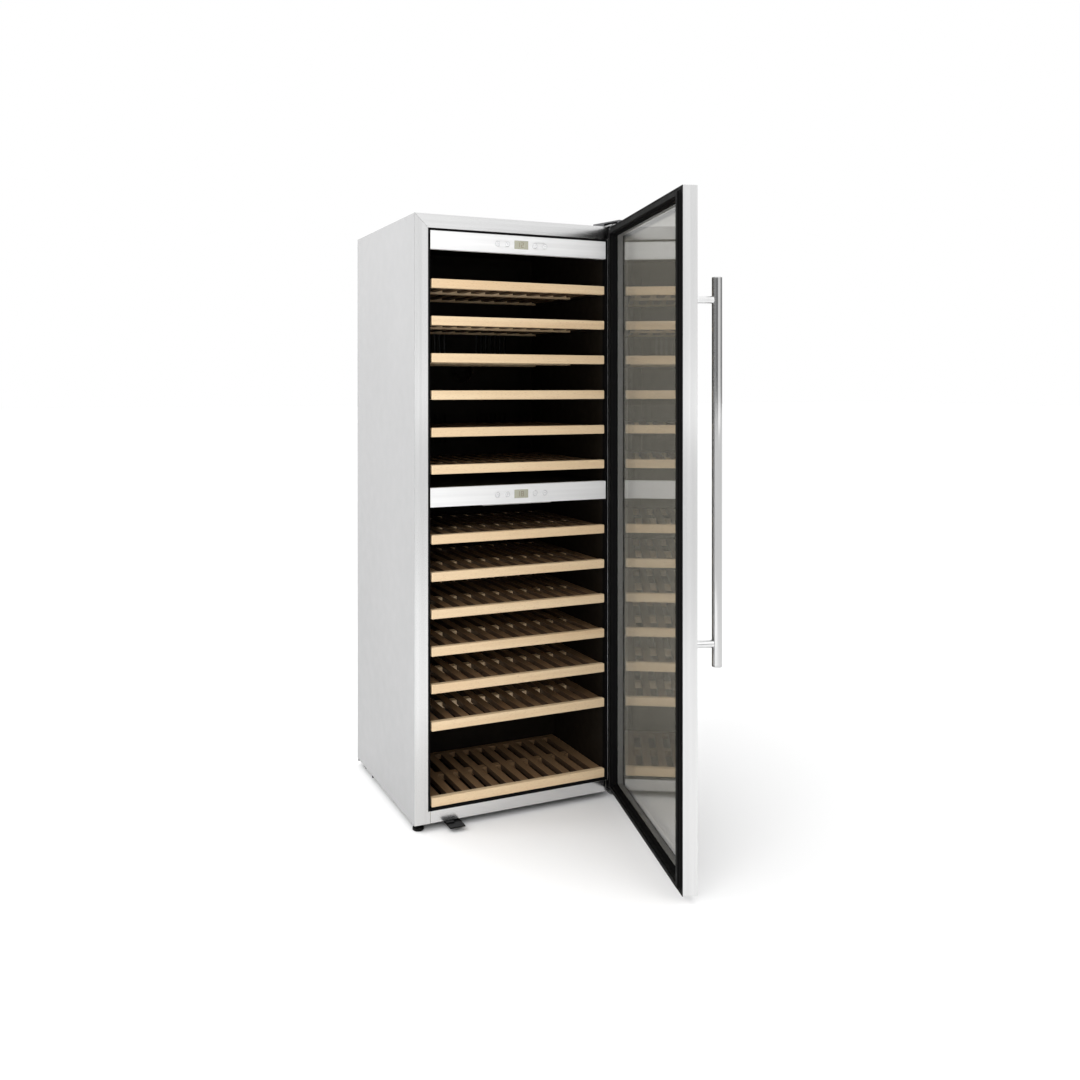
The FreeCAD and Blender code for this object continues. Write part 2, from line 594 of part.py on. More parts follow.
def hinges():
    """Steel arms with welded pins above and below the door, and the cover over the upper arm."""
    axis = Vector(HINGE.x, -HINGE_OUT, 0)
    x = axis.x
    arm = block(x - 18, x + 18, -HINGE_OUT, 60, HEIGHT + SEAM, HEIGHT + 4)
    upper = fuse([arm, rod(14.0, 4 - SEAM, axis + Vector(0, 0, HEIGHT + SEAM), Z),
                  rod(PIN_R, 20.0, axis + Vector(0, 0, HEIGHT - 17), Z)])
    low, thick = UNDERSIDE - 0.9, 3.0
    arm = block(x - 18, x + 18, -HINGE_OUT, 60, low - thick, low)
    lower = fuse([arm, rod(14.0, thick, axis + Vector(0, 0, low - thick), Z),
                  rod(PIN_R, 19.0, axis + Vector(0, 0, low - thick + 1), Z)])
    save("hinge_brackets", [upper, lower])

    outline = [(x - 31, 64.0), (x - 4, -HINGE_OUT - 20), (x + 12, -HINGE_OUT - 20),
               (HALF - 1, -HINGE_OUT), (HALF - 1, 64.0)]
    shell = cover_plate(outline, HEIGHT + SEAM, HEIGHT + 15)
    hollow = block(x - 19, x + 19, -HINGE_OUT, 61, HEIGHT - 1, HEIGHT + 11)
    hollow = hollow.fuse(rod(15.0, 12.0, axis + Vector(0, 0, HEIGHT - 1), Z))
    save("hinge_cover", [shell.cut(hollow)])


def cover_plate(outline, z0, z1):
    """The outline points (x, depth), drawn up from z0 to z1."""
    wire = Part.makePolygon([Vector(px, FRONT + py, z0) for px, py in outline + outline[:1]])
    return Part.Face(wire).extrude(Vector(0, 0, z1 - z0))


def door_rest():
    """Plate under the bottom rail that carries the free side of the closing door."""
    plate = block(-236, -191, -40, 60, 12, 16)
    riser = block(-236, -213, -12, 60, 15, UNDERSIDE - 1)
    save("door_rest_plate", [fuse([plate, riser])])


casing()
base()
liners()
insulation()
front_frame()
frame_trim()
control_panels()
displays()
buttons()
led_strips()
shelves()
shelf_supports()
duct_covers()
fans()
evaporators()
machine_bay()
screws()
feet()
rollers()
door()
hinges()
door_rest()
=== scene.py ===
"""Looks of the wine cooler: materials, finished meshes, light and camera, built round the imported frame."""
import json
import math

import bmesh
import bpy
from mathutils import Matrix, Vector


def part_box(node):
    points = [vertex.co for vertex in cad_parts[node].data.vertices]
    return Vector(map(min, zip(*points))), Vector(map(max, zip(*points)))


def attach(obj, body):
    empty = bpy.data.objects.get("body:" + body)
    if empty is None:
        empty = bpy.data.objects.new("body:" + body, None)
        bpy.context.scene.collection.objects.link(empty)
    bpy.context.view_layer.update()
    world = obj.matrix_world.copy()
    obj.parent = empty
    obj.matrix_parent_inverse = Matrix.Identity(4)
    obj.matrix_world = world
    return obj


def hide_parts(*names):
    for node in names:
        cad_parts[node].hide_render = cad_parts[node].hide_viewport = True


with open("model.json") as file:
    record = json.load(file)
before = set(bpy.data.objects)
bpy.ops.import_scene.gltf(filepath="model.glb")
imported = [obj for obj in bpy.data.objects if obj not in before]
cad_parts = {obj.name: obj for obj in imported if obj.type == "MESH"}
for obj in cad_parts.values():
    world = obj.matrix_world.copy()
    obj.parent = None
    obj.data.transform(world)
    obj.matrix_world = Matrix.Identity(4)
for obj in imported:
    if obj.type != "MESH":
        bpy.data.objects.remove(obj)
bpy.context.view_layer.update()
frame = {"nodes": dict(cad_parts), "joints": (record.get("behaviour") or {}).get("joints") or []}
joints = {joint["name"]: joint for joint in frame["joints"]}

# ---- sizes that several pieces share ----
MM = 0.001
SHEET = 1.2 * MM        # thickness of the stainless faces and of the door's casing
LEAF = 0.5 * MM         # front leaf of a stile, which reaches the side panel; a black strip behind it is painted shade in the seam
FINE = 0.1 * MM         # clearance between faces that would otherwise coincide
MITRE = 0.3 * MM        # how far a front face stands back from its mitre
BUTT = 0.6 * MM         # how far a stile's foot stands back from its joint with the bottom rail
SEAM = 0.2 * MM         # how far other pieces stand back from the joint at which they butt
PIN_HOLE = 0.1 * MM     # radius at which a turned end closes
MERGE = 1e-7            # distance below which two points of one turned piece are the same

# ---- places taken from the frame ----
HINGE = Vector(joints["door_hinge"]["pos_m"])
OPEN = math.radians(-joints["door_hinge"]["range_deg"][0])
TO_REST = Matrix.Translation(HINGE) @ Matrix.Rotation(OPEN, 4, "Z") @ Matrix.Translation(-HINGE)
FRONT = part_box("front_frame")[0].y
SHELVES = ["shelf_%02d" % n for n in range(1, 14)]


def corners(points):
    """Lowest and highest corner of some points."""
    return tuple(Vector([pick(point[i] for point in points) for i in range(3)]) for pick in (min, max))


def shut_box(node):
    """Lowest and highest corner of a door node, with the door turned back to shut."""
    back = TO_REST.inverted()
    return corners([back @ vertex.co for vertex in frame["nodes"][node].data.vertices])


DOOR = shut_box("door_frame")


# ---- material helpers ----
class Nodes:
    """A short way to build one material's node tree."""

    def __init__(self, name):
        self.material = bpy.data.materials.new(name)
        self.material.use_nodes = True
        self.tree = self.material.node_tree
        self.shader = self.tree.nodes["Principled BSDF"]
        self.place = self.tree.nodes.new("ShaderNodeTexCoord").outputs["Object"]

    def add(self, kind, **inputs):
        node = self.tree.nodes.new("ShaderNode" + kind)
        for name, value in inputs.items():
            self.plug(node.inputs[name.replace("_", " ")], value)
        return node

    def plug(self, socket, value):
        if isinstance(value, bpy.types.NodeSocket):
            self.tree.links.new(value, socket)
        else:
            socket.default_value = value

    def set(self, **inputs):
        for name, value in inputs.items():
            self.plug(self.shader.inputs[name.replace("_", " ")], value)

    def stretched(self, scale):
        return self.add("Mapping", Vector=self.place, Scale=scale).outputs["Vector"]

    def noise(self, scale, detail=3.0, roughness=0.5):
        place = self.stretched(scale)
        node = self.add("TexNoise", Vector=place, Scale=1.0, Detail=detail, Roughness=roughness)
        return node.outputs["Fac"]

    def ramp(self, value, first, second):
        """Colour ramp between two (position, colour) stops."""
        node = self.add("ValToRGB", Fac=value)
        for element, (position, colour) in zip(node.color_ramp.elements, (first, second)):
            element.position = position
            element.color = (*colour, 1.0)
        return node.outputs["Color"]

    def span(self, value, low, high, start=0.3, end=0.7):
        """Map start..end, by default the middle of a noise's range, to low..high."""
        node = self.add("MapRange", Value=value)
        for name, number in (("From Min", start), ("From Max", end), ("To Min", low), ("To Max", high)):
            node.inputs[name].default_value = number
        return node.outputs["Result"]

    def mix(self, factor, first, second):
        """Mix two colours; the sockets with these numbers are those of the colour kind."""
        node = self.tree.nodes.new("ShaderNodeMix")
        node.data_type = "RGBA"
        for index, value in ((0, factor), (6, first), (7, second)):
            self.plug(node.inputs[index], value)
        return node.outputs[2]

    def shades(self, factor, colour, dark):
        """A colour that drifts to a darker shade of itself; dark is that shade's share of it."""
        return self.mix(self.span(factor, 0, 1), tuple(c * dark for c in colour) + (1.0,), (*colour, 1.0))

    def bump(self, height, strength, distance):
        node = self.add("Bump", Height=height, Strength=strength, Distance=distance)
        self.set(Normal=node.outputs["Normal"])


def grey(value):
    """A neutral colour with alpha."""
    return (value, value, value, 1.0)


def grain(axis, across, along):
    """Texture scale that is fine across an axis and coarse along it."""
    return [along if i == axis else across for i in range(3)]


def brushed(name, axis, tone, roughness=0.3, bump=0.12, metallic=1.0):
    """Steel or aluminium brushed along one axis of its own object."""
    m = Nodes(name)
    lines = m.noise(grain(axis, 1400.0, 6.0), detail=4.0, roughness=0.65)
    streaks = m.noise(grain(axis, 60.0, 0.8), detail=2.0)
    dark, light = grey(tone * 0.93), grey(min(tone * 1.05, 0.95))
    m.set(Metallic=metallic, Base_Color=m.mix(m.span(streaks, 0, 1), dark, light))
    m.set(Roughness=m.span(lines, roughness * 0.8, roughness * 1.25))
    m.bump(lines, bump, 0.12 * MM)
    return m.material


def painted(name, colour, roughness=0.35, peel=0.05, metallic=0.0, specular=0.5):
    """Smooth paint on sheet steel with a slight orange peel."""
    m = Nodes(name)
    cloud = m.noise((3.0, 3.0, 2.0), detail=2.0)
    m.set(Metallic=metallic, Base_Color=m.shades(cloud, colour, 0.96), Specular_IOR_Level=specular)
    m.set(Roughness=m.span(m.noise((25.0, 25.0, 25.0)), roughness * 0.9, roughness * 1.1))
    m.bump(m.noise((260.0, 260.0, 260.0), detail=1.0), peel, 0.2 * MM)
    return m.material


def plastic(name, colour, roughness=0.45, bump=0.15, size=900.0, specular=0.5):
    """Moulded plastic or rubber with a fine spark-eroded grain."""
    m = Nodes(name)
    dirt = m.noise((12.0, 12.0, 12.0), detail=3.0)
    m.set(Base_Color=m.shades(dirt, colour, 0.8), Specular_IOR_Level=specular)
    m.set(Roughness=m.span(m.noise((40.0, 40.0, 40.0)), roughness * 0.88, roughness * 1.12))
    m.bump(m.noise((size, size, size), detail=2.0), bump, 0.2 * MM)
    return m.material


def beech(name, axis, pale=(0.80, 0.62, 0.40), warm=(0.70, 0.50, 0.295), fleck=(0.44, 0.26, 0.135)):
    """Beech with its grain along one axis: soft bands, short dark flecks and a slow change of tone."""
    m = Nodes(name)
    bands = m.noise(grain(axis, 55.0, 1.6), detail=5.0, roughness=0.6)
    colour = m.ramp(bands, (0.3, warm), (0.62, pale))
    slow = m.noise(grain(axis, 9.0, 2.5), detail=1.0)
    colour = m.mix(m.span(slow, 0.0, 0.35), colour, (*[c * 1.06 for c in pale], 1.0))
    dashes = m.noise(grain(axis, 900.0, 130.0), detail=1.5, roughness=0.4)
    colour = m.mix(m.span(dashes, 0.0, 0.55, start=0.60, end=0.74), colour, (*fleck, 1.0))
    piece_tone = m.add("ObjectInfo").outputs["Random"]
    colour = m.mix(m.span(piece_tone, 0.0, 0.16, start=0, end=1), colour, (*warm, 1.0))
    m.set(Base_Color=colour, Roughness=m.span(bands, 0.42, 0.55))
    m.bump(m.noise(grain(axis, 1500.0, 12.0), detail=2.0), 0.25, 0.15 * MM)
    return m.material


def glass(name, colour):
    """Pane with a faint cloud in its tint and its roughness."""
    m = Nodes(name)
    cloud = m.noise((2.0, 2.0, 2.0), detail=1.0)
    m.set(Base_Color=m.shades(cloud, colour, 0.97), Transmission_Weight=1.0, IOR=1.5)
    m.set(Roughness=m.span(cloud, 0.0, 0.012))
    return m.material


STEEL_UP = brushed("steel_brushed_upright", 2, 0.65, roughness=0.2, bump=0.04)
STEEL_ACROSS = brushed("steel_brushed_across", 0, 0.70, roughness=0.2, bump=0.04)
# The tube's steel is a darker tone than the posts' steel: painted shade on the tube.
HANDLE_STEEL = brushed("steel_handle", 2, 0.52, roughness=0.10, bump=0.03)
POST_STEEL = brushed("steel_posts", 2, 0.66, roughness=0.12, bump=0.03)
FASCIA = brushed("fascia_brushed", 0, 0.84, roughness=0.4, metallic=0.12, bump=0.05)
CASING = painted("casing_paint", (0.350, 0.350, 0.352), roughness=0.5)
BACK_SHEET = painted("back_sheet", (0.46, 0.47, 0.48), roughness=0.5, metallic=0.3)
BLACK_STEEL = painted("black_steel", (0.005, 0.005, 0.0055), roughness=0.35, peel=0.1, specular=0.08)
LINER = plastic("liner_black", (0.012, 0.009, 0.006), roughness=0.65, specular=0.2)
TRIM = plastic("trim_black", (0.004, 0.004, 0.0042), roughness=0.6, specular=0.05)
RUBBER = plastic("gasket_rubber", (0.005, 0.005, 0.005), roughness=0.65, bump=0.2, specular=0.12)
COVER_GREY = plastic("cover_grey", (0.10, 0.10, 0.105), roughness=0.4)
LIGHT_BAR = plastic("light_bar", (0.55, 0.55, 0.53), roughness=0.3)
SPACER = brushed("spacer_aluminium", 2, 0.93, roughness=0.5, metallic=0.0)
GLASS_TINT = glass("tinted_glass", (0.245, 0.232, 0.20))
GLASS_CLEAR = glass("clear_glass", (0.93, 0.93, 0.91))
BEECH_X = beech("beech_along_x", 0)
# Colours for beech(): pale, warm and fleck. The first set is beech darkened as painted shade, for the shade
# inside the cabinet on the slats and on the last shelf's crossbar and rail.
SHADED_WOOD = ((0.265, 0.165, 0.085), (0.19, 0.11, 0.055), (0.095, 0.05, 0.022))
# The second set is darker still: painted shade on the slats' sides, between the slats.
SIDE_SHADE_WOOD = ((0.10, 0.06, 0.035), (0.06, 0.035, 0.02), (0.03, 0.016, 0.009))
SLAT_SIDE = beech("slat_wood_side_shade", 1, *SIDE_SHADE_WOOD)
SLAT_WOOD = beech("slat_wood_along_y", 1, *SHADED_WOOD)
RAIL_WOOD = beech("slat_wood_along_x", 0, *SHADED_WOOD)
CROSS_WOOD = beech("crossbar_wood", 0)
SCREW = brushed("screw_steel", 0, 0.5, roughness=0.3)
# Fins in aluminium darkened to a tenth: painted shade behind the slots of the duct covers.
FINS = brushed("fin_aluminium", 2, 0.10, roughness=0.5)
FOAM = plastic("foam", (0.75, 0.68, 0.45), roughness=0.9, bump=0.5, size=300.0)
FOOT = plastic("foot_black", (0.004, 0.004, 0.004), roughness=0.6, specular=0.15)
ROLLER = plastic("roller_grey", (0.03, 0.03, 0.03), roughness=0.5)
BUSH = plastic("bush_plastic", (0.55, 0.55, 0.52), roughness=0.4)
LCD = plastic("display_lcd", (0.50, 0.49, 0.39), roughness=0.25, bump=0.02)
BEZEL = plastic("display_bezel", (0.20, 0.20, 0.18), roughness=0.4, bump=0.05)
SEGMENT = plastic("display_segments", (0.20, 0.15, 0.10), roughness=0.4, bump=0.02)
BUTTON = brushed("button_metal", 0, 0.9, roughness=0.35, bump=0.04, metallic=0.15)
RING = plastic("button_ring", (0.24, 0.25, 0.29), roughness=0.4, bump=0.02)


# ---- mesh helpers ----
def finish_piece(name, bm, material, body, instead=(), place=None, bevel=0.0, smooth=40, bake=False):
    """Turn a bmesh into a finished piece that rides on its body; bake puts its place into the mesh itself."""
    if bake:
        bm.transform(place)
        place = None
    bmesh.ops.recalc_face_normals(bm, faces=bm.faces)
    mesh = bpy.data.meshes.new(name)
    bm.to_mesh(mesh)
    bm.free()
    piece = bpy.data.objects.new(name, mesh)
    bpy.context.scene.collection.objects.link(piece)
    mesh.materials.append(material)
    mesh.shade_smooth()
    mesh.set_sharp_from_angle(angle=math.radians(smooth))
    if place is not None:
        piece.matrix_world = place
        bpy.context.view_layer.update()
    if bevel:
        soften(piece, bevel)
    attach(piece, body)
    if instead:
        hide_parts(*instead)
    return piece


def soften(piece, width):
    """Round every sharp edge a little, so that it catches the light."""
    edge = piece.modifiers.new("edges", "BEVEL")
    edge.width = width
    edge.segments = 2
    edge.limit_method = "ANGLE"
    edge.angle_limit = math.radians(35)
    edge.harden_normals = True


def add_box(bm, one, other):
    """A box between two opposite corners."""
    low, high = corners([one, other])
    matrix = Matrix.Translation((low + high) / 2) @ Matrix.Diagonal((*(high - low), 1.0))
    bmesh.ops.create_cube(bm, size=1.0, matrix=matrix)


def add_loops(bm, loops, caps=True):
    """Skin neighbouring closed loops of points; caps closes the first and last one."""
    rows = [[bm.verts.new(point) for point in loop] for loop in loops]
    for first, second in zip(rows, rows[1:]):
        count = len(first)
        for i in range(count):
            j = (i + 1) % count
            bm.faces.new((first[i], first[j], second[j], second[i]))
    if caps:
        bm.faces.new(rows[0])
        bm.faces.new(rows[-1])


def add_plate(bm, outline, front, back):
    """An outline in the XZ plane, made solid between two values of Y."""
    add_loops(bm, [[(x, y, z) for x, z in outline] for y in (front, back)])


def add_lathe(bm, outline, centre, axis, steps=48):
    """Turn an outline of (radius, distance along the axis) about an axis."""
    turn = Vector((0, 0, 1)).rotation_difference(Vector(axis)).to_matrix()
    loops = []
    for radius, along in outline:
        ring = []
        for k in range(steps):
            angle = 2 * math.pi * k / steps
            point = Vector((radius * math.cos(angle), radius * math.sin(angle), along))
            ring.append(Vector(centre) + turn @ point)
        loops.append(ring)
    add_loops(bm, loops)


def add_ring(bm, section, centre, steps=48):
    """Turn a closed section of (radius, distance along +Y) about an axis along Y."""
    loops = []
    for k in range(steps + 1):
        angle = 2 * math.pi * (k % steps) / steps
        loops.append([(centre[0] + r * math.cos(angle), centre[1] + y, centre[2] + r * math.sin(angle))
                      for r, y in section])
    add_loops(bm, loops, caps=False)
    bmesh.ops.remove_doubles(bm, verts=bm.verts, dist=MERGE)


def add_stroke(bm, start, end, y, width, depth):
    """A thin straight stroke in the XZ plane whose face lies at y."""
    start, end = Vector(start), Vector(end)
    along = (end - start).normalized() * width / 2
    across = Vector((-along.y, along.x))
    outline = [start - along + across, start - along - across, end + along - across, end + along + across]
    add_plate(bm, outline, y, y + depth)


def member(profile, side, low, high, gap):
    """One mitred side of a rectangular frame; profile points are (inset from the edge, depth).
    Each of its two mitres stands back by the gap."""
    near, far = [], []
    for inset, depth in profile:
        if side in ("left", "right"):
            x = low.x + inset if side == "left" else high.x - inset
            near.append((x, depth, low.z + inset + gap))
            far.append((x, depth, high.z - inset - gap))
        else:
            z = low.z + inset if side == "bottom" else high.z - inset
            near.append((low.x + inset + gap, depth, z))
            far.append((high.x - inset - gap, depth, z))
    bm = bmesh.new()
    add_loops(bm, [near, far])
    return bm


def dress(node, material, bevel=0.0):
    """Give a CAD node its material and, with bevel, softened edges."""
    piece = frame["nodes"][node]
    piece.data.materials.clear()
    piece.data.materials.append(material)
    if bevel:
        weld = piece.modifiers.new("weld", "WELD")
        weld.merge_threshold = 0.01 * MM
        soften(piece, bevel)


# ---- cabinet ----
# CAD pieces that keep their shape: material, width of their softened edges in millimetres, nodes.
KEPT = (
    (CASING, 0.4, ("side_panels", "top_panel")),
    (BACK_SHEET, 0.4, ("back_panel",)),
    (BACK_SHEET, 0.3, ("rear_grille",)),
    (BLACK_STEEL, 0.3, ("base_pan",)),
    (BLACK_STEEL, 0.5, ("compressor",)),
    (BLACK_STEEL, 0.8, ("door_rest_plate",)),
    (BLACK_STEEL, 0.0, ("condenser",)),
    (LINER, 0.3, ("fan_upper", "fan_lower", "condenser_fan")),
    (LINER, 0.5, ("liners", "duct_covers", "fan_housings")),
    (LINER, 1.0, ("shelf_supports", "drain_tray")),
    (FOAM, 0.0, ("insulation",)),
    (LIGHT_BAR, 1.0, ("led_strips",)),
    (FINS, 0.0, ("evaporators",)),
    (TRIM, 0.5, ("mains_inlet",)),
    (TRIM, 0.6, ("frame_trim",)),
    (SCREW, 0.3, ("cabinet_screws",)),
    (SCREW, 0.5, ("hinge_brackets",)),
    (COVER_GREY, 1.5, ("hinge_cover",)),
    (FASCIA, 0.6, ("control_panels",)),
    (LCD, 0.3, ("displays",)),
    (SPACER, 0.3, ("glass_spacer",)),
    (BUSH, 0.5, ("door_bushes",)),
    (FOOT, 0.5, ("foot_left", "foot_right")),
    (ROLLER, 0.5, ("roller_left", "roller_right")),
)
FRAME_TURN = 20 * MM            # depth of the flanges that the front faces turn into the opening
FRAME_EDGE = 0.4 * MM           # softened edges of the front faces
STILE_FOOT = 7 * MM             # how far each stile reaches in beside the bottom rail
HEAD_GAP = 2 * MM               # how far a stile's flange stops below the top rail
FLANGE_END = 1 * MM             # how far the top rail's flange stops short of the stiles
SEAM_SHADE_STRIP = (0.4 * MM, 1 * MM)        # nearer and farther side of the black strip that is painted shade in the seam, from the cabinet's corner


def front_frame():
    """Four stainless faces round the opening, and black strips beside the side panels: painted shade in the
    seams.
    """
    low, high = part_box("front_frame")
    trim_low, trim_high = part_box("frame_trim")
    inner = trim_high.x + FINE
    sill, head = trim_low.z - FINE, trim_high.z + FINE
    back, turned = FRONT + SHEET, FRONT + FRAME_TURN
    for side, name in ((-1, "left"), (1, "right")):
        corner, edge, foot = side * high.x, side * inner, side * (inner - STILE_FOOT + BUTT)
        outline = [(corner, low.z), (foot, low.z), (foot, sill), (edge, sill), (edge, head - MITRE),
                   (corner, high.z - MITRE)]
        bm = bmesh.new()
        add_plate(bm, outline, FRONT, FRONT + LEAF)
        add_box(bm, (corner - side * SHEET, FRONT + LEAF, sill), (edge, back, head - HEAD_GAP))
        add_box(bm, (edge, back, sill), (edge + side * SHEET, turned, head - HEAD_GAP))
        finish_piece("frame_stile_" + name, bm, STEEL_UP, "cabinet", ["front_frame"],
                     bevel=FRAME_EDGE)
    bm = bmesh.new()
    outline = [(low.x + MITRE, high.z), (MITRE - inner, head),
               (inner - MITRE, head), (high.x - MITRE, high.z)]
    add_plate(bm, outline, FRONT, back)
    add_box(bm, (FLANGE_END - inner, back, head), (inner - FLANGE_END, turned, head + SHEET))
    finish_piece("frame_rail_top", bm, STEEL_ACROSS, "cabinet", ["front_frame"],
                 bevel=FRAME_EDGE)
    bm = bmesh.new()
    reach = inner - STILE_FOOT - SEAM
    add_box(bm, (-reach, FRONT, low.z), (reach, back, sill))
    add_box(bm, (-reach, back, sill - SHEET), (reach, turned, sill))
    finish_piece("frame_rail_bottom", bm, STEEL_ACROSS, "cabinet", ["front_frame"],
                 bevel=FRAME_EDGE)
    # Behind each stile's leaf a black strip, painted shade in the seam at the side panel.
    for side, name in ((-1, "left"), (1, "right")):
        near, far = [side * (high.x - inset) for inset in SEAM_SHADE_STRIP]
        bm = bmesh.new()
        add_box(bm, (near, FRONT + LEAF + FINE, low.z), (far, back - FINE, high.z - HEAD_GAP))
        finish_piece("frame_joint_" + name, bm, TRIM, "cabinet")


# ---- control panels ----
# Strokes of the generic signs, in shares of a button's radius, and of the digits, in shares of half a digit.
SIGNS = {
    1: [((0, 0.1), (0, 0.55)), ((-0.3, 0.2), (-0.42, -0.1)), ((-0.42, -0.1), (-0.25, -0.4)),
        ((-0.25, -0.4), (0.25, -0.4)), ((0.25, -0.4), (0.42, -0.1)), ((0.42, -0.1), (0.3, 0.2))],
    2: [((-0.15, -0.35), (0.15, -0.35)), ((-0.15, -0.2), (-0.3, 0.15)), ((-0.3, 0.15), (0, 0.45)),
        ((0, 0.45), (0.3, 0.15)), ((0.3, 0.15), (0.15, -0.2))],
    3: [((-0.3, -0.15), (0, 0.2)), ((0, 0.2), (0.3, -0.15))],
    4: [((-0.3, 0.15), (0, -0.2)), ((0, -0.2), (0.3, 0.15))],
}
SEGMENTS = {
    "a": ((-0.5, 1), (0.5, 1)), "b": ((0.5, 1), (0.5, 0)), "c": ((0.5, 0), (0.5, -1)),
    "d": ((-0.5, -1), (0.5, -1)), "e": ((-0.5, 0), (-0.5, -1)), "f": ((-0.5, 1), (-0.5, 0)),
    "g": ((-0.5, 0), (0.5, 0)),
}
DIGITS = {"1": "bc", "2": "abged", "8": "abcdefg"}
CAP_EDGE = (0.7 * MM, 0.6 * MM)         # a cap's chamfer: across its face, and down its side
CAP_FLAT = 1 * MM                       # width of the flat band inside that chamfer
CAP_DEPTH = 4.5 * MM
STEM = (3 * MM, 10.5 * MM)              # radius of a button's stem, and how deep it ends
RING_BAND = (0.9 * MM, 0.2 * MM)        # printed ring, from the chamfer inwards: its inner and outer edge
PRINT = (-0.05 * MM, 0.1 * MM)          # a print's face and root, from the surface that it lies on
SIGN_STROKE = 0.6 * MM
BEZEL_WIDTH, BEZEL_LIFT = 1.6 * MM, 0.2 * MM
HALF_DIGIT, DIGIT_PITCH, DIGIT_STROKE = 6.5 * MM, 12.5 * MM, 1.2 * MM
FIRST_DIGIT = -0.75                     # place of the first digit from the display's middle, in pitches
DEGREE_INSET = 7.5 * MM                 # degree sign: from the display's right edge to its middle
DEGREE_RING = (1.2 * MM, 2 * MM)        # its inner and outer radius


def button(node, sign):
    """A flush metal cap with a printed ring and a generic sign."""
    low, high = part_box(node)
    radius, centre = (high.x - low.x) / 2, (low + high) / 2
    rim = radius - CAP_EDGE[0]
    bm = bmesh.new()
    outline = [(PIN_HOLE, 0.0), (rim - CAP_FLAT, 0.0), (rim, 0.0), (radius, CAP_EDGE[1]), (radius, CAP_DEPTH),
               (STEM[0], CAP_DEPTH), STEM, (PIN_HOLE, STEM[1])]
    add_lathe(bm, outline, (centre.x, low.y, centre.z), (0, 1, 0))
    finish_piece(node + "_cap", bm, BUTTON, node, [node], smooth=20)
    bm = bmesh.new()
    face, root = PRINT
    inside, outside = [rim - inset for inset in RING_BAND]
    section = [(inside, face), (outside, face), (outside, root), (inside, root)]
    add_ring(bm, section, (centre.x, low.y, centre.z))
    for start, end in SIGNS[sign]:
        points = [(centre.x + u * radius, centre.z + v * radius) for u, v in (start, end)]
        add_stroke(bm, *points, low.y + face, SIGN_STROKE, root - face)
    finish_piece(node + "_sign", bm, RING, node, smooth=20)


def display(zone, text, low, high):
    """The bezel of a display window, the segments of its digits and a degree sign."""
    bm = bmesh.new()
    left, right = low.x + BEZEL_WIDTH, high.x - BEZEL_WIDTH
    bottom, top = low.z + BEZEL_WIDTH, high.z - BEZEL_WIDTH
    for a, b in (((low.x, low.z), (high.x, bottom)), ((low.x, top), (high.x, high.z)),
                 ((low.x, bottom), (left, top)), ((right, bottom), (high.x, top))):
        add_box(bm, (a[0], low.y - BEZEL_LIFT, a[1]), (b[0], low.y, b[1]))
    finish_piece("display_%s_bezel" % zone, bm, BEZEL, "cabinet")
    bm = bmesh.new()
    middle, face = (low.z + high.z) / 2, low.y - FINE
    for k, digit in enumerate(text):
        x = (low.x + high.x) / 2 + (k + FIRST_DIGIT) * DIGIT_PITCH
        for name in DIGITS[digit]:
            points = [(x + u * HALF_DIGIT, middle + v * HALF_DIGIT) for u, v in SEGMENTS[name]]
            add_stroke(bm, *points, face, DIGIT_STROKE, FINE)
    inside, outside = DEGREE_RING
    section = [(inside, 0), (outside, 0), (outside, FINE), (inside, FINE)]
    add_ring(bm, section, (high.x - DEGREE_INSET, face, middle + HALF_DIGIT - DIGIT_STROKE), steps=24)
    finish_piece("display_%s_digits" % zone, bm, SEGMENT, "cabinet")


def control_panels():
    """Display windows with their digits, and ringed buttons with generic signs."""
    low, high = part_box("displays")
    middle = (low.z + high.z) / 2
    windows = [vertex.co for vertex in frame["nodes"]["displays"].data.vertices]
    display("upper", "12", *corners([point for point in windows if point.z > middle]))
    display("lower", "18", *corners([point for point in windows if point.z < middle]))
    for zone in ("upper", "lower"):
        for n in SIGNS:
            button("button_%s_%d" % (zone, n), n)


# ---- shelves ----
BAR = (18 * MM, 26 * MM)        # depth and height of a shelf's front bar
SLAT = (25 * MM, 16 * MM)       # width and height of a slat
SLATS, PITCH = 12, 46.5 * MM
DROP = 4 * MM                   # from the top of the bar to the top of the slats
CROSSBAR = 24 * MM              # depth of a crossbar
HALF_CROSSBAR = 258 * MM
CROSSBAR_PLACE, LAST_CROSSBAR_PLACE = 182 * MM, 170 * MM        # front crossbar, and that of the last shelf
TOOTH_DROP = 3 * MM             # from the top of the slats to the top of the teeth between them
REAR_RAIL = 24 * MM             # depth of the last shelf's rear rail
BAR_EDGE, SLAT_EDGE, CROSSBAR_EDGE = 2.4 * MM, 1.2 * MM, 1 * MM
SIDE_FACE = 0.9                 # a face of a slat whose normal has at least this much X is one of its sides


def toothed(bm, y, low, top):
    """Crossbar under the slats, with a tooth in each gap that ends just under their tops."""
    root, tip = top - SLAT[1] - SEAM, top - TOOTH_DROP
    outline = [(-HALF_CROSSBAR, low), (HALF_CROSSBAR, low), (HALF_CROSSBAR, root)]
    half = (PITCH - SLAT[0]) / 2 - SEAM
    for k in reversed(range(SLATS - 1)):
        x = (k - (SLATS - 2) / 2) * PITCH
        outline += [(x + half, root), (x + half, tip), (x - half, tip), (x - half, root)]
    outline.append((-HALF_CROSSBAR, root))
    add_plate(bm, outline, y, y + CROSSBAR)


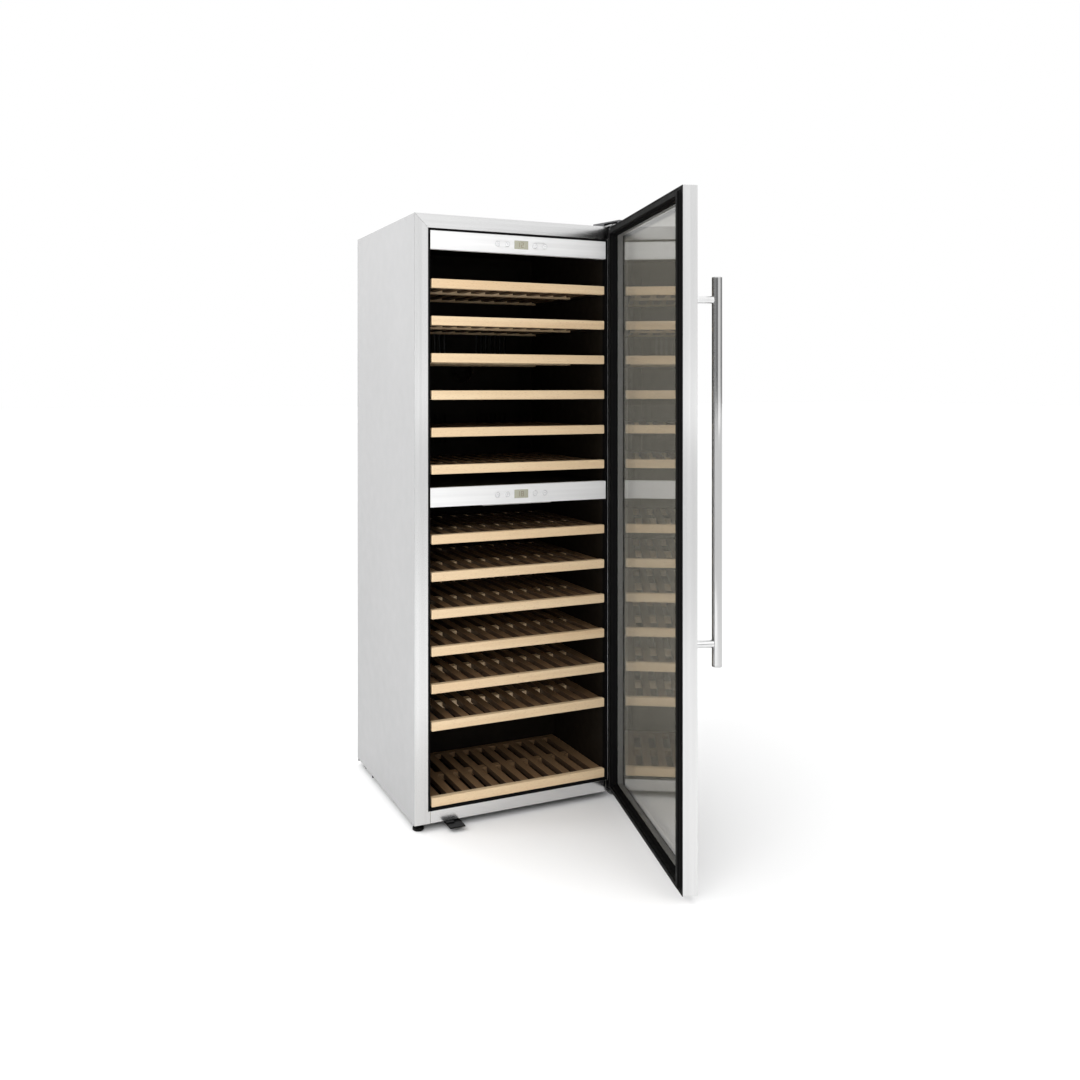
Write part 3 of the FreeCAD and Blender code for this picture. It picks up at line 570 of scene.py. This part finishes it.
def shelves():
    """Front bar, slats and crossbars of each shelf; the short last one also has a rear rail."""
    for node in SHELVES:
        low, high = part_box(node)
        last = node == SHELVES[-1]
        top, under = high.z - DROP, high.z - DROP - SLAT[1]
        back = high.y - REAR_RAIL - SEAM if last else high.y
        bm = bmesh.new()
        add_box(bm, (low.x, low.y, high.z - BAR[1]), (high.x, low.y + BAR[0], high.z))
        finish_piece(node + "_bar", bm, BEECH_X, node, [node], bevel=BAR_EDGE)
        # Slats in beech darkened as painted shade for the inside of the cabinet.
        bm = bmesh.new()
        for k in range(SLATS):
            x = (k - (SLATS - 1) / 2) * PITCH
            left = low.x if k == 0 else x - SLAT[0] / 2
            right = high.x if k == SLATS - 1 else x + SLAT[0] / 2
            add_box(bm, (left, low.y + BAR[0] + SEAM, under), (right, back, top))
        slats = finish_piece(node + "_slats", bm, SLAT_WOOD, node, [node], bevel=SLAT_EDGE)
        # The slats' sides take the darker wood: painted shade between the slats.
        slats.data.materials.append(SLAT_SIDE)
        for face in slats.data.polygons:
            if abs(face.normal.x) > SIDE_FACE:
                face.material_index = 1
        bm = bmesh.new()
        front = low.y + (LAST_CROSSBAR_PLACE if last else CROSSBAR_PLACE)
        for y in (front,) if last else (front, high.y - CROSSBAR):
            toothed(bm, y, high.z - BAR[1], top)
        # The last shelf's crossbar, like its rail, takes the darkened beech: painted shade.
        wood = RAIL_WOOD if last else CROSS_WOOD
        finish_piece(node + "_crossbars", bm, wood, node, [node], bevel=CROSSBAR_EDGE)
        if last:
            bm = bmesh.new()
            add_box(bm, (low.x, high.y - REAR_RAIL, under), (high.x, high.y, top))
            finish_piece(node + "_rail", bm, RAIL_WOOD, node, [node], bevel=BAR_EDGE)


# ---- door ----
FACE = 42 * MM                  # width of the casing's face towards the room
DOOR_MITRE = 0.15 * MM          # how far each mitre of the casing and of the inner frame stands back
LIP = (0.3 * MM, 1.1 * MM)      # the inner frame's lip over the casing: distance from the edge, and thickness
SEAT = (20.1 * MM, 14 * MM)     # seat of the glazing: distance from the edge, depth below the inner plane
BORDER = 30 * MM                # width of the inner frame, from the door's edge to the glass
BORDER_STEP = (2 * MM, 3 * MM, 6 * MM)  # bevel towards the glass: width, and depths of its start and end
GROOVE = (10 * MM, 26.5 * MM)   # the seal's groove: its two edges, from the door's edge
GROOVE_DEPTH, GROOVE_SLOPE = 1.5 * MM, 1 * MM
# Ribbed seal, in millimetres: distance from the door's edge, and height over its inner plane.
SEAL = ((12.5, -1.5), (12.5, 1.0), (14.5, 3.0), (13.2, 5.0), (12.8, 8.5), (13.8, 9.5),
        (22.8, 9.5), (24.2, 8.0), (23.6, 5.0), (22.2, 3.0), (24.5, 1.0), (24.5, -1.5))


def surround(name, profile, upright, across, node, gap, bevel):
    """Four mitred sides of a frame in the door, in place of a CAD node."""
    for side in ("left", "right", "top", "bottom"):
        material = upright if side in ("left", "right") else across
        finish_piece(name + side, member(profile, side, *DOOR, gap), material, "door", [node], TO_REST,
                     bevel=bevel)


def door():
    """Mitred steel casing, black inner frame, ribbed seal, double glazing and handle."""
    outer, inner = DOOR[0].y, DOOR[1].y
    edge = inner - SHEET
    profile = [(0, edge), (0, outer), (FACE, outer), (FACE, outer + SHEET), (SHEET, outer + SHEET),
               (SHEET, edge)]
    surround("door_casing_", profile, STEEL_UP, STEEL_ACROSS, "door_frame", DOOR_MITRE, 0.5 * MM)
    start, front = SHEET + FINE, outer + SHEET + FINE
    step, bevel_start, bevel_end = BORDER_STEP
    profile = [(LIP[0], inner), (LIP[0], inner - LIP[1]), (start, inner - LIP[1]), (start, front),
               (SEAT[0], front), (SEAT[0], inner - SEAT[1]), (BORDER, inner - SEAT[1]),
               (BORDER, inner - bevel_end), (BORDER - step, inner - bevel_start), (BORDER - step, inner),
               (GROOVE[1], inner), (GROOVE[1] - GROOVE_SLOPE, inner - GROOVE_DEPTH),
               (GROOVE[0] + GROOVE_SLOPE, inner - GROOVE_DEPTH), (GROOVE[0], inner)]
    surround("door_liner_", profile, TRIM, TRIM, "door_liner", DOOR_MITRE, 0.3 * MM)
    profile = [(inset * MM, inner + height * MM) for inset, height in SEAL]
    surround("door_seal_", profile, RUBBER, RUBBER, "door_gasket", 0.0, 0.3 * MM)
    panes()
    handle()


def panes():
    """The pane on the room side is tinted and the one on the cabinet side is clear."""
    dress("glass_panes", GLASS_TINT)
    piece = frame["nodes"]["glass_panes"]
    piece.data.materials.append(GLASS_CLEAR)
    back = TO_REST.inverted()
    low, high = shut_box("glass_panes")
    for face in piece.data.polygons:
        face.material_index = int((back @ face.center).y > (low.y + high.y) / 2)


# Turned ends, in millimetres: how far inside the radius, and how far from the end.
TUBE_END = ((3.0, 0.6), (1.8, 0.0), (0.6, 0.3), (0.0, 1.4), (0.0, 4.0), (0.3, 4.2), (0.0, 4.4))
TUBE_DISH = 0.8 * MM            # depth of the dish in the middle of the tube's end
POST_FOOT = ((0.0, 0.0), (0.0, 1.2), (0.6, 1.8), (0.6, 3.0), (0.0, 3.6))
POST_STOP = 0.8                 # a post stops inside the tube, at this share of the radius from its axis


def turned_end(points, radius):
    """The outline of a turned end for a radius."""
    return [(radius - inset * MM, along * MM) for inset, along in points]


def handle():
    """Tube with pressed end caps on two turned posts."""
    low, high = shut_box("handle_bar")
    radius = (high.x - low.x) / 2
    x, y = (low.x + high.x) / 2, (low.y + high.y) / 2
    length = high.z - low.z
    outline = [(PIN_HOLE, TUBE_DISH)] + turned_end(TUBE_END, radius)
    mirrored = [(r, length - z) for r, z in reversed(outline)]
    bm = bmesh.new()
    add_lathe(bm, outline + mirrored, (x, y, low.z), (0, 0, 1), steps=64)
    finish_piece("handle_tube", bm, HANDLE_STEEL, "door", ["handle_bar"], TO_REST, smooth=50,
                 bake=True)
    low, high = shut_box("handle_posts")
    post_radius = (high.x - low.x) / 2
    reach = high.y - y - radius * POST_STOP
    outline = [(PIN_HOLE, 0.0), *turned_end(POST_FOOT, post_radius), (post_radius, reach), (PIN_HOLE, reach)]
    for name, z in (("handle_post_bottom", low.z + post_radius), ("handle_post_top", high.z - post_radius)):
        bm = bmesh.new()
        add_lathe(bm, outline, (x, high.y, z), (0, -1, 0))
        finish_piece(name, bm, POST_STEEL, "door", ["handle_posts"], TO_REST, bevel=0.3 * MM,
                     bake=True)


# ---- studio ----
# Lamps: name, place, point aimed at, width and height, power in watts, and whether shiny pieces mirror them.
LAMPS = (
    ("key", (-2.5, -2.9, 1.9), (-0.1, 0, 0.9), (2.2, 3.0), 56, False),
    ("side", (-2.3, 0.1, 2.5), (-0.33, 0.1, 1.5), (1.2, 1.2), 34, False),
    ("fill", (1.5, -3.7, 2.1), (1.2, 0, 2.0), (3.6, 2.2), 20, True),
)
# World: where along an axis of the view direction a change starts and ends, and the strength on its far side.
ROOM = (-0.55, 0.35, 0.28)      # along Y; the strength is that of the room in front of the object
WALL = (0.45, 0.9, 0.4)         # along X, to the right
CEILING = (0.15, 0.75, 1.35)    # along Z
BACKDROP = 1.0
FLOOR_SIZE, FLOOR_TONE = 60.0, 0.89
# Camera fitted to the photograph: its verticals are parallel, so the camera is level and shifted.
CAMERA_PLACE = (-1.2487, -2.9197, 1.2349)
CAMERA_TURN = (math.radians(90), 0.0, -0.4147)
CAMERA_SHIFT = (0.0428, -0.1411)
CAMERA_LENS, CAMERA_SENSOR = 33.536, 36.0
CAMERA_CLIP = (0.05, 100.0)


def softbox(name, place, aim, size, power, mirrored):
    """A rectangular area light that faces a point, and isn't seen through glass."""
    data = bpy.data.lights.new(name, "AREA")
    data.shape = "RECTANGLE"
    data.size, data.size_y = size
    data.energy = power
    lamp = bpy.data.objects.new(name, data)
    lamp.location = place
    lamp.rotation_mode = "QUATERNION"
    lamp.rotation_quaternion = (Vector(aim) - Vector(place)).to_track_quat("-Z", "Y")
    bpy.context.scene.collection.objects.link(lamp)
    lamp.visible_glossy = mirrored
    lamp.visible_transmission = False


def studio_world():
    """White behind the object, dimmer in front of it and to its right, and brightest overhead.
    The camera sees a plain white backdrop instead, through glass too."""
    world = bpy.data.worlds.new("studio")
    bpy.context.scene.world = world
    world.use_nodes = True
    tree = world.node_tree
    new, link = tree.nodes.new, tree.links.new
    background = tree.nodes["Background"]
    place = new("ShaderNodeTexCoord")
    split = new("ShaderNodeSeparateXYZ")
    link(place.outputs["Generated"], split.inputs[0])

    def ramp(value, start, end, low, high):
        node = new("ShaderNodeMapRange")
        node.interpolation_type = "SMOOTHSTEP"
        link(value, node.inputs["Value"])
        for name, number in (("From Min", start), ("From Max", end), ("To Min", low), ("To Max", high)):
            node.inputs[name].default_value = number
        return node.outputs["Result"]

    def mix(factor, first, second):
        node = new("ShaderNodeMix")
        link(factor, node.inputs[0])
        for socket, value in zip(node.inputs[2:4], (first, second)):
            if isinstance(value, bpy.types.NodeSocket):
                link(value, socket)
            else:
                socket.default_value = value
        return node.outputs[0]

    light = ramp(split.outputs["Y"], ROOM[0], ROOM[1], ROOM[2], BACKDROP)
    light = mix(ramp(split.outputs["X"], WALL[0], WALL[1], 0.0, 1.0), light, WALL[2])
    light = mix(ramp(split.outputs["Z"], CEILING[0], CEILING[1], 0.0, 1.0), light, CEILING[2])
    seen = new("ShaderNodeLightPath")
    backdrop = new("ShaderNodeMath")
    backdrop.operation = "MAXIMUM"
    link(seen.outputs["Is Camera Ray"], backdrop.inputs[0])
    link(seen.outputs["Is Transmission Ray"], backdrop.inputs[1])
    strength = mix(backdrop.outputs[0], light, BACKDROP)
    background.inputs["Color"].default_value = grey(1.0)
    link(strength, background.inputs["Strength"])


def studio():
    """Pale floor, soft lights and the camera."""
    bm = bmesh.new()
    bmesh.ops.create_grid(bm, x_segments=1, y_segments=1, size=FLOOR_SIZE)
    mesh = bpy.data.meshes.new("floor")
    bm.to_mesh(mesh)
    bm.free()
    floor = bpy.data.objects.new("floor", mesh)
    bpy.context.scene.collection.objects.link(floor)
    paper = Nodes("floor_paper")
    paper.set(Base_Color=grey(FLOOR_TONE), Roughness=1.0, Specular_IOR_Level=0.0)
    mesh.materials.append(paper.material)
    studio_world()
    for lamp in LAMPS:
        softbox(*lamp)
    data = bpy.data.cameras.new("camera")
    camera = bpy.data.objects.new("camera", data)
    bpy.context.scene.collection.objects.link(camera)
    data.lens, data.sensor_width = CAMERA_LENS, CAMERA_SENSOR
    data.shift_x, data.shift_y = CAMERA_SHIFT
    data.clip_start, data.clip_end = CAMERA_CLIP
    camera.location = CAMERA_PLACE
    camera.rotation_mode = "XYZ"
    camera.rotation_euler = CAMERA_TURN
    bpy.context.scene.camera = camera
    bpy.context.scene.view_settings.view_transform = "Standard"


for material, edge, nodes in KEPT:
    for node in nodes:
        dress(node, material, edge * MM)
front_frame()
control_panels()
shelves()
door()
studio()
